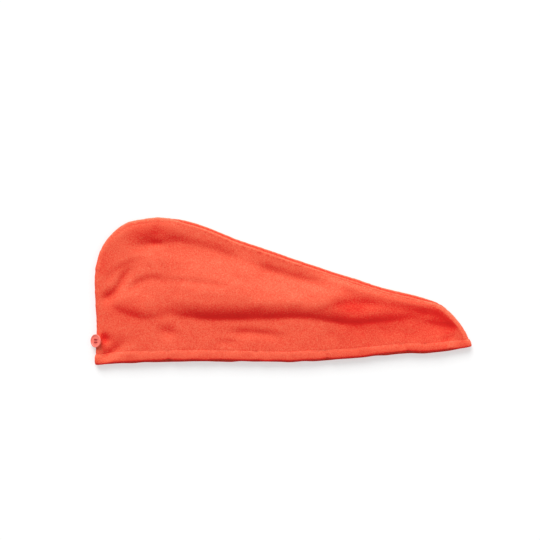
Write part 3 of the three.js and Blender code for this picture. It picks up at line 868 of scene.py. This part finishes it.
def stitch_paths(lip, line, height_at, is_front):
    """Short arcs of thread along the hem's groove, with a dip at both ends of each."""
    lips, edges, _ = hem_lines(lip, line, is_front)
    route = Path(mix(lips, edges, STITCH_ACROSS))
    steps = np.linspace(-0.5, 0.5, 6)
    side = 1 if is_front else -1
    paths = []
    for middle in np.arange(STITCH_PITCH, route.length - STITCH_PITCH, STITCH_PITCH):
        flat = route.at(middle + steps * STITCH_LENGTH)
        relief = hem_relief(flat[:, 0] + (0 if is_front else LENGTH), STITCH_ACROSS)
        arch = STITCH_DIP * (1 - (2 * steps) ** 2)
        z = height_at(flat[:, 0], flat[:, 1]) + side * (STITCH_LEVEL + relief - STITCH_DIP + arch)
        z = np.maximum(z, TABLE + 1.2 * STITCH_RADIUS)
        paths.append(np.column_stack([flat, z]))
    return paths


def hem_stitches(material):
    paths = stitch_paths(upper_lip, upper_hem_line, top.at, True)
    paths += stitch_paths(lower_lip, lower_hem_line, table_height, False)
    radii = STITCH_RADIUS * np.array([0.5, 1, 1.1, 1.1, 1, 0.5])
    points, faces = tubes(paths, radii, 6)
    return made_piece("hem_stitches", points, faces, material)


# The button and its thread.
BUTTON_DIAMETER = 23
BUTTON_THICKNESS = 3.2
BUTTON_RIM = 2.4
BUTTON_DISH = 1.1
HOLE_DIAMETER = 2.0
HOLE_PITCH_ACROSS = 6.2
HOLE_PITCH_UP = 4.4
BUTTON_UP = 42
BUTTON_TILT = 36
SHANK_DIAMETER = 3.2
SHANK_LENGTH = 1.3
STRAND_RADIUS = 0.33
BUTTON_SIDES = 96
HOLE_SIDES = 28
HOLE_SHARP_ANGLE = math.radians(38)
STRANDS = 5
STRAND_STEP = 0.42
SHANK_TURNS = 2.4
HOLES = [
    (across * HOLE_PITCH_ACROSS / 2, up * HOLE_PITCH_UP / 2) for across in (-1, 1) for up in (-1, 1)
]


def on_button(points):
    """Places in the button's own axes moved on to the towel, where its shank stands on the edge."""
    tilt = math.radians(BUTTON_TILT)
    roll = math.atan2(EDGE_HEIGHT / 2 * math.cos(tilt), EDGE_ROLL * math.sin(tilt))
    seat = edge_places(BUTTON_UP, roll, 0.0)
    direction = inward(np.array(float(BUTTON_UP)))
    out = Vector((*(-math.sin(tilt) * direction), math.cos(tilt)))
    turn = Vector((0, 0, 1)).rotation_difference(out).to_matrix()
    middle = Vector(seat) + out * (SHANK_LENGTH + BUTTON_THICKNESS / 2)
    return np.asarray(points, float) @ np.array(turn).T + np.array(middle)


def lathe(profile, sides):
    """Points and faces of a turned shape, from radii and heights that start and end on the axis."""
    angles = np.linspace(0, 2 * math.pi, sides, endpoint=False)
    points, faces = [(0, 0, profile[0][1])], []
    for radius, height in profile[1:-1]:
        points += [(radius * math.cos(a), radius * math.sin(a), height) for a in angles]
    points.append((0, 0, profile[-1][1]))
    last = 1 + (len(profile) - 3) * sides
    for j in range(sides):
        k = (j + 1) % sides
        faces.append((0, 1 + k, 1 + j))
        for a in range(1, last, sides):
            faces.append((a + j, a + k, a + sides + k, a + sides + j))
        faces.append((last + j, last + k, len(points) - 1))
    return np.array(points), faces


def sewn_button(material):
    radius, half = BUTTON_DIAMETER / 2, BUTTON_THICKNESS / 2
    face, dish = half - BUTTON_DISH, BUTTON_DIAMETER / 2 - BUTTON_RIM
    corners = [
        (0, -half),
        (radius - 2.2, -half),
        (radius - 0.9, -half + 0.25),
        (radius - 0.15, -half + 1.0),
        (radius, -half + 1.75),
        (radius - 0.12, half - 0.6),
        (radius - 0.5, half - 0.16),
        (radius - 1.15, half),
        (radius - 1.8, half - 0.16),
        (dish - 0.1, face + 0.42),
        (dish - 0.8, face + 0.12),
        (dish - 2.2, face),
        (0, face - 0.1),
    ]
    points, faces = lathe(spline(corners, steps=4), BUTTON_SIDES)
    piece = made_piece("sewn_button", on_button(points), faces, material, ["button"])
    hole = HOLE_DIAMETER / 2
    drill = [
        (0, -4),
        (hole, -4),
        (hole, 0.1),
        (hole + 0.1, 0.34),
        (hole + 0.42, 0.6),
        (hole + 0.5, 3),
        (0, 3),
    ]
    points, faces = lathe(drill, HOLE_SIDES)
    for x, y in HOLES:
        cutter = bare_object("drill", on_button(points + (x, y, 0)), faces)
        cut = piece.modifiers.new("hole", "BOOLEAN")
        cut.operation, cut.solver, cut.object = "DIFFERENCE", "EXACT", cutter
        bpy.context.view_layer.update()
        drilled = piece.evaluated_get(bpy.context.evaluated_depsgraph_get())
        piece.data = bpy.data.meshes.new_from_object(drilled)
        piece.modifiers.clear()
        bpy.data.objects.remove(cutter)
    piece.data.set_sharp_from_angle(angle=HOLE_SHARP_ANGLE)
    return piece


def button_thread(material):
    half = BUTTON_THICKNESS / 2
    face = half - BUTTON_DISH
    reach = HOLE_PITCH_ACROSS / 2
    paths = []
    for up in (-1, 1):
        for number in range(STRANDS):
            from_middle = number - STRANDS // 2
            aside = from_middle * STRAND_STEP
            lift = 0.62 - 0.12 * abs(from_middle) + 0.05 * random.standard_normal()
            middle = up * HOLE_PITCH_UP / 2
            shift = 0.12 * random.standard_normal()
            route = [
                (-reach - 0.1, middle + aside * 0.7, -half - 0.5),
                (-reach, middle + aside * 0.8, -0.2),
                (-reach + 0.15, middle + aside, face + 0.2),
                (-reach + 0.9, middle + aside + shift, face + lift),
                (0.0, middle + aside * 1.15 + shift, face + lift + 0.12),
                (reach - 0.9, middle + aside - shift, face + lift),
                (reach - 0.15, middle + aside, face + 0.2),
                (reach, middle + aside * 0.8, -0.2),
                (reach + 0.1, middle + aside * 0.7, -half - 0.5),
            ]
            paths.append(on_button(spline(route, steps=5)))
    for up in (-1, 1):
        for across in (-1, 1):
            leg = [(across * reach, up * HOLE_PITCH_UP / 2, -half - 0.4), (0, 0, -half - 0.75)]
            paths.append(on_button(spline(leg, steps=5)))
    turns = np.linspace(0, 1, 90)
    for phase in (0, math.pi):
        angle = turns * 2 * math.pi * SHANK_TURNS + phase
        coil = SHANK_DIAMETER / 2 - STRAND_RADIUS
        level = mix(-half - 0.45, -half - SHANK_LENGTH, turns)
        paths.append(on_button(np.column_stack([coil * np.cos(angle), coil * np.sin(angle), level])))
    points, faces = tubes(paths, STRAND_RADIUS, 8)
    return made_piece("sewing_thread", points, faces, material, ["button_thread"])


# The elastic loop, a cord from the seam inside the tail's tip and back to the seam.
LOOP_CORD = 2.6
LOOP_LENGTH = 44
LOOP_SPREAD = 16
LOOP_FROM_TIP = 30
GAP = 0.3
LOOP_SIDES = 20
LOOP_STATIONS = 420
BRAID_TURN = 1.5
BRAID_RELIEF = 0.06


def elastic_loop(material):
    radius = LOOP_CORD / 2
    level = CLOTH + GAP + radius
    wall_curve = 1 - math.sqrt(1 - (radius / (EDGE_HEIGHT / 2 - CLOTH)) ** 2)
    seat = CLOTH + GAP + (EDGE_ROLL - CLOTH) * wall_curve
    middle = outline.length - HEM_WIDTH_TAIL - LOOP_FROM_TIP
    first, last = (edge_places(middle + end * LOOP_SPREAD / 2, 0.0, seat) for end in (-1, 1))
    into = np.array([*inward(np.array(middle)), 0.0])
    along = unit(last - first)
    straight_out = into * 2 * LOOP_CORD
    bend = [(0.4, 0.48), (0.65, 0.46), (0.88, 0.34), (1.0, 0.0)]
    bend = [(deep, -wide) for deep, wide in bend] + bend[-2::-1]
    centre = mix(first, last, 0.5)
    route = [centre + into * deep * LOOP_LENGTH + along * wide * LOOP_SPREAD for deep, wide in bend]
    route = [(x, y, level) for x, y, _ in route]
    route = Path(spline([first, first + straight_out, *route, last + straight_out, last], steps=30))
    places = route.at(np.linspace(0, route.length, LOOP_STATIONS))
    step = route.length / (LOOP_STATIONS - 1)

    def braid(angles, number):
        turn = number * step * BRAID_TURN
        return 1 - BRAID_RELIEF + BRAID_RELIEF * np.cos(4 * angles + turn) * np.cos(4 * angles - turn)

    points, faces = tubes([places], radius, LOOP_SIDES, braid)
    return made_piece("elastic_cord", points, faces, material, ["elastic_loop"])


# Materials.
def new_material(name, settings):
    material = bpy.data.materials.new(name)
    material.use_nodes = True
    shader = material.node_tree.nodes["Principled BSDF"]
    for socket, value in settings.items():
        shader.inputs[socket].default_value = value
    return material, shader


def add_node(material, kind, inputs, **settings):
    node = material.node_tree.nodes.new(kind)
    for key, value in settings.items():
        setattr(node, key, value)
    for socket, value in inputs.items():
        if isinstance(value, bpy.types.NodeSocket):
            material.node_tree.links.new(value, node.inputs[socket])
        else:
            node.inputs[socket].default_value = value
    return node


def noise(material, size, detail=3.0, roughness=0.55):
    """Noise with lumps of about this many millimetres, from 0 to 1."""
    where = add_node(material, "ShaderNodeTexCoord", {}).outputs["Object"]
    inputs = {"Vector": where, "Scale": 1 / (size * MM), "Detail": detail, "Roughness": roughness}
    return add_node(material, "ShaderNodeTexNoise", inputs).outputs["Fac"]


def weighted(material, terms, base=0.0):
    """base plus each socket times its weight."""
    total = base
    for socket, weight in terms:
        inputs = {0: socket, 1: weight, 2: total}
        total = add_node(material, "ShaderNodeMath", inputs, operation="MULTIPLY_ADD").outputs[0]
    return total


def blend(material, amount, first, second):
    node = add_node(material, "ShaderNodeMix", {0: amount}, data_type="RGBA")
    for index, value in ((6, first), (7, second)):
        if isinstance(value, bpy.types.NodeSocket):
            material.node_tree.links.new(value, node.inputs[index])
        else:
            node.inputs[index].default_value = (*value, 1)
    return node.outputs[2]


def bumped(material, shader, layers):
    """Bump from (height socket, depth in millimetres) layers."""
    normal = None
    for height, depth in layers:
        inputs = {"Height": height, "Distance": depth * MM, "Strength": 1.0}
        if normal:
            inputs["Normal"] = normal
        normal = add_node(material, "ShaderNodeBump", inputs).outputs["Normal"]
    material.node_tree.links.new(normal, shader.inputs["Normal"])


def plush(name, light, plain, deep, sheen):
    """Plush pile. Its colour goes from light over plain to deep as the depth values do from below
    nought to one. The depth values are the pile's grain plus the pieces' depth attribute, which carries
    painted shade towards deep and painted light towards light."""
    settings = {
        "Sheen Weight": sheen,
        "Sheen Roughness": 0.45,
        "Sheen Tint": (1.0, 0.42, 0.3, 1),
        "Specular IOR Level": 0.15,
        "Roughness": 0.95,
    }
    material, shader = new_material(name, settings)
    patches = noise(material, 34, 2)
    tufts = noise(material, 2.1, 3, 0.75)
    fibres = noise(material, 0.9, 3, 0.6)
    # The pieces' depth attribute: the pile's lie with painted shade and painted light.
    given = add_node(material, "ShaderNodeAttribute", {}, attribute_name="depth").outputs["Fac"]
    grain = [(patches, -0.15), (tufts, -2.8), (fibres, -1.0)]
    depth = weighted(material, [(given, 1.0), *grain], base=2.05)
    lifted = weighted(material, [(depth, -1.0)])
    colour = blend(material, depth, plain, deep)
    colour = blend(material, lifted, colour, light)
    material.node_tree.links.new(colour, shader.inputs["Base Color"])
    bumped(material, shader, [(tufts, 0.5), (fibres, 0.25)])
    return material


def thread_like(name, colour, roughness, grain):
    """Thread or cord: fine fibres in a colour that varies a little."""
    material, shader = new_material(name, {"Roughness": roughness, "Sheen Weight": 0.05})
    fibres = noise(material, grain, 3)
    darker = tuple(0.55 * part for part in colour)
    colour = blend(material, weighted(material, [(fibres, 1.4)], base=-0.2), darker, colour)
    material.node_tree.links.new(colour, shader.inputs["Base Color"])
    bumped(material, shader, [(fibres, 0.12)])
    return material


def glossy_plastic(name, colour, pale):
    settings = {"Coat Weight": 0.15, "Coat Roughness": 0.15, "Specular IOR Level": 0.35}
    material, shader = new_material(name, settings)
    clouds = noise(material, 7, 2)
    grain = noise(material, 1.1, 3)
    amount = weighted(material, [(clouds, 0.9), (grain, 0.3)], base=-0.25)
    material.node_tree.links.new(blend(material, amount, colour, pale), shader.inputs["Base Color"])
    roughness = weighted(material, [(grain, 0.12)], base=0.3)
    material.node_tree.links.new(roughness, shader.inputs["Roughness"])
    bumped(material, shader, [(clouds, 0.05), (grain, 0.015)])
    return material


cloth = plush("coral plush", (0.87, 0.235, 0.132), (0.81, 0.101, 0.051), (0.72, 0.015, 0.011), 0.22)
hem = plush("coral hem plush", (0.87, 0.24, 0.136), (0.83, 0.112, 0.057), (0.72, 0.017, 0.012), 0.22)
stitch_thread = thread_like("coral stitching", (0.86, 0.13, 0.075), 0.7, 0.5)
sewing_thread = thread_like("dark red thread", (0.62, 0.012, 0.014), 0.6, 0.4)
elastic = thread_like("coral elastic", (0.75, 0.09, 0.05), 0.8, 0.5)
plastic = glossy_plastic("salmon plastic", (0.86, 0.16, 0.12), (0.9, 0.195, 0.15))

front = front_cloth(cloth)
back = back_cloth(cloth)
band = hem_band(hem)
stitches = hem_stitches(stitch_thread)
sewn_button(plastic)
button_thread(sewing_thread)
elastic_loop(elastic)

# The floor, the light and the camera.
FLOOR_HALF = 4.0
FLOOR_GAP = 0.05
floor_mesh = bpy.data.meshes.new("floor")
floor_corners = [(-1, -1), (1, -1), (1, 1), (-1, 1)]
floor_places = [(x * FLOOR_HALF, y * FLOOR_HALF, 0) for x, y in floor_corners]
floor_mesh.from_pydata(floor_places, [], [(0, 1, 2, 3)])
floor = bpy.data.objects.new("floor", floor_mesh)
bpy.context.scene.collection.objects.link(floor)
floor.location.z = (TABLE - FLOOR_GAP) * MM
table_settings = {
    "Base Color": (0.5, 0.5, 0.5, 1),
    "Roughness": 0.9,
    "Emission Color": (1, 1, 1, 1),
    "Emission Strength": 0.46,
}
white, _ = new_material("white table", table_settings)
floor_mesh.materials.append(white)

# Lights as rows: name, energy, height over the table, degrees aside from +y towards +x, width.
LIGHTS = (
    ("soft window", 3.35, 35, -14, 42),
    ("fill", 0.7, 28, 80, 60),
)
for name, energy, height, aside, width in LIGHTS:
    sun_data = bpy.data.lights.new(name, "SUN")
    sun_data.energy = energy
    sun_data.angle = math.radians(width)
    sun = bpy.data.objects.new(name, sun_data)
    height, aside = math.radians(height), math.radians(aside)
    level = math.cos(height)
    sun_from = Vector((math.sin(aside) * level, math.cos(aside) * level, math.sin(height)))
    sun.rotation_mode = "QUATERNION"
    sun.rotation_quaternion = sun_from.to_track_quat("Z", "Y")
    bpy.context.scene.collection.objects.link(sun)

world = bpy.data.worlds.new("room")
world.use_nodes = True
world.node_tree.nodes["Background"].inputs["Color"].default_value = (1, 1, 1, 1)
world.node_tree.nodes["Background"].inputs["Strength"].default_value = 0.42
bpy.context.scene.world = world
bpy.context.scene.view_settings.view_transform = "Standard"

camera_data = bpy.data.cameras.new("camera")
camera_data.lens = CAMERA_LENS
camera_data.sensor_width = CAMERA_SENSOR
camera = bpy.data.objects.new("camera", camera_data)
pixel = LENGTH / PHOTO_CLOTH_WIDTH
centre_x = (PHOTO_SIZE / 2 - PHOTO_NAPE_X) * pixel
centre_y = (PHOTO_MOUTH_Y - PHOTO_SIZE / 2) * pixel
distance = PHOTO_SIZE * pixel * CAMERA_LENS / CAMERA_SENSOR + EDGE_HEIGHT / 2
camera.location = (ORIGIN + (centre_x, centre_y, distance)) * MM
bpy.context.scene.collection.objects.link(camera)
bpy.context.scene.camera = camera
